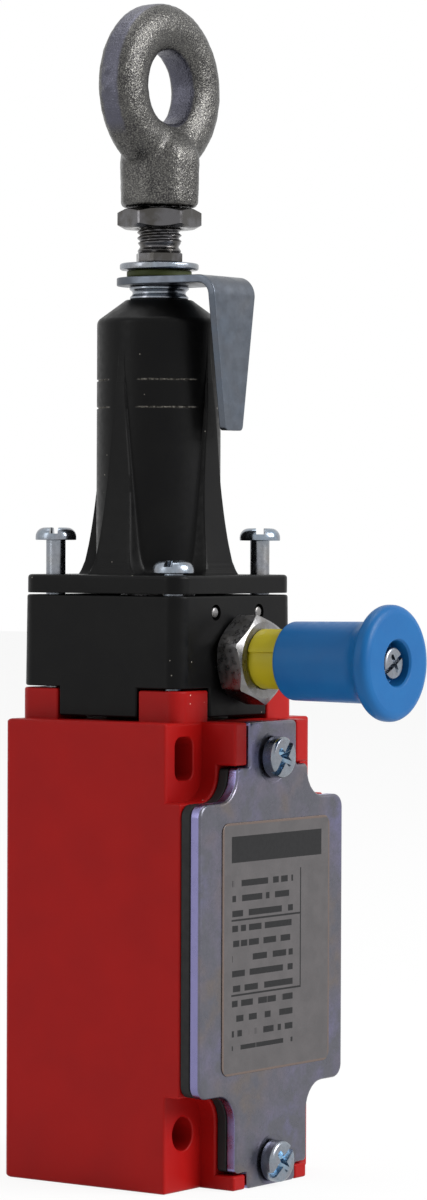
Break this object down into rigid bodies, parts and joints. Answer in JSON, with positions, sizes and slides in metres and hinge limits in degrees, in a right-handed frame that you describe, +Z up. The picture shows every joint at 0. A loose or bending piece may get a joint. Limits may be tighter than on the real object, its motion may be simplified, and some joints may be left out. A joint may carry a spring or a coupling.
{
  "type": "rope pull switch",
  "caption": "Latching rope pull switch with a wall-mounted housing, an eye nut on a sprung spindle, a tension pointer and a reset knob on its front.",
  "frame": {"origin": "on the housing's flat back face, in the middle of its four mounting holes", "axes": "+Z up along the spindle towards the eye nut, +Y out of the back face towards the wall, -Y towards the cover and the reset knob, +X to the right seen from the front"},
  "size_m": [0.04, 0.0637, 0.1921],
  "materials": {
    "housing_paint": "red powder coat on a zinc die-casting, satin",
    "head_paint": "black paint on a zinc die-casting, satin",
    "seal_rubber": "black nitrile sheet, matt",
    "cover_zinc": "zinc-plated and blue-passivated sheet steel",
    "plate_foil": "dull grey foil label with black bars",
    "screw_steel": "zinc-plated steel, bright",
    "bare_steel": "machined steel, bright",
    "spring_steel": "drawn spring wire",
    "galvanised_forging": "forged steel, rough galvanised grey",
    "contact_brass": "brass, rolled",
    "block_moulding": "black thermoset moulding",
    "carrier_moulding": "cream thermoplastic moulding",
    "sleeve_yellow": "yellow moulded sleeve, satin",
    "knob_blue": "blue moulded knob, satin",
    "ring_green": "dark green elastomer ring"
  },
  "bodies": {
    "switch_body": {"housing": "housing_paint", "cover_gasket": "seal_rubber", "front_cover": "cover_zinc", "rating_plate": "plate_foil", "cover_screw_lower": "screw_steel", "cover_screw_upper": "screw_steel", "contact_block": "block_moulding", "contact_block_screw_left": "screw_steel", "contact_block_screw_right": "screw_steel", "terminal_lower_left": "contact_brass", "terminal_screw_lower_left": "screw_steel", "terminal_lower_right": "contact_brass", "terminal_screw_lower_right": "screw_steel", "terminal_upper_left": "contact_brass", "terminal_screw_upper_left": "screw_steel", "terminal_upper_right": "contact_brass", "terminal_screw_upper_right": "screw_steel", "carrier_spring": "spring_steel", "earth_clamp": "screw_steel", "earth_screw": "contact_brass", "head_gasket": "seal_rubber", "head_body": "head_paint", "seal_ring": "seal_rubber", "bell_housing": "head_paint", "head_screw_1": "screw_steel", "head_screw_2": "screw_steel", "head_screw_3": "screw_steel", "head_screw_4": "screw_steel", "guide_pin_left": "bare_steel", "guide_pin_right": "bare_steel", "reset_nut": "bare_steel", "yellow_sleeve": "sleeve_yellow", "reset_spring": "spring_steel", "main_spring": "spring_steel"},
    "spindle_unit": {"spindle": "bare_steel", "cam": "bare_steel", "cam_pin": "bare_steel", "spring_seat": "cover_zinc", "retaining_ring": "spring_steel", "spacer_nut": "bare_steel", "tension_pointer": "cover_zinc", "indicator_ring": "ring_green", "washer": "cover_zinc", "lock_nut": "bare_steel", "eye_nut": "galvanised_forging"},
    "reset_unit": {"reset_knob": "knob_blue", "knob_screw": "screw_steel", "reset_shaft": "bare_steel", "latch_slide": "bare_steel"},
    "contact_unit": {"plunger": "bare_steel", "contact_carrier": "carrier_moulding", "contact_bridge_lower": "contact_brass", "contact_bridge_upper": "contact_brass"}
  },
  "joints": [
    {"name": "spindle_pull", "type": "slide", "parent": "switch_body", "child": "spindle_unit", "axis": [0, 0, 1], "range_m": [0, 0.012], "stiffness_N_per_m": 6000, "springref_m": -0.003, "deforming": ["main_spring"]},
    {"name": "reset_push", "type": "slide", "parent": "switch_body", "child": "reset_unit", "axis": [0, 1, 0], "range_m": [0, 0.005], "stiffness_N_per_m": 800, "springref_m": -0.002, "deforming": ["reset_spring"]},
    {"name": "contact_travel", "type": "slide", "parent": "switch_body", "child": "contact_unit", "axis": [0, 0, 1], "range_m": [0, 0.003], "deforming": ["carrier_spring"]}
  ],
  "couplings": [
    {"joint": "contact_travel", "follows": "spindle_pull", "ratio": 0.25}
  ]
}
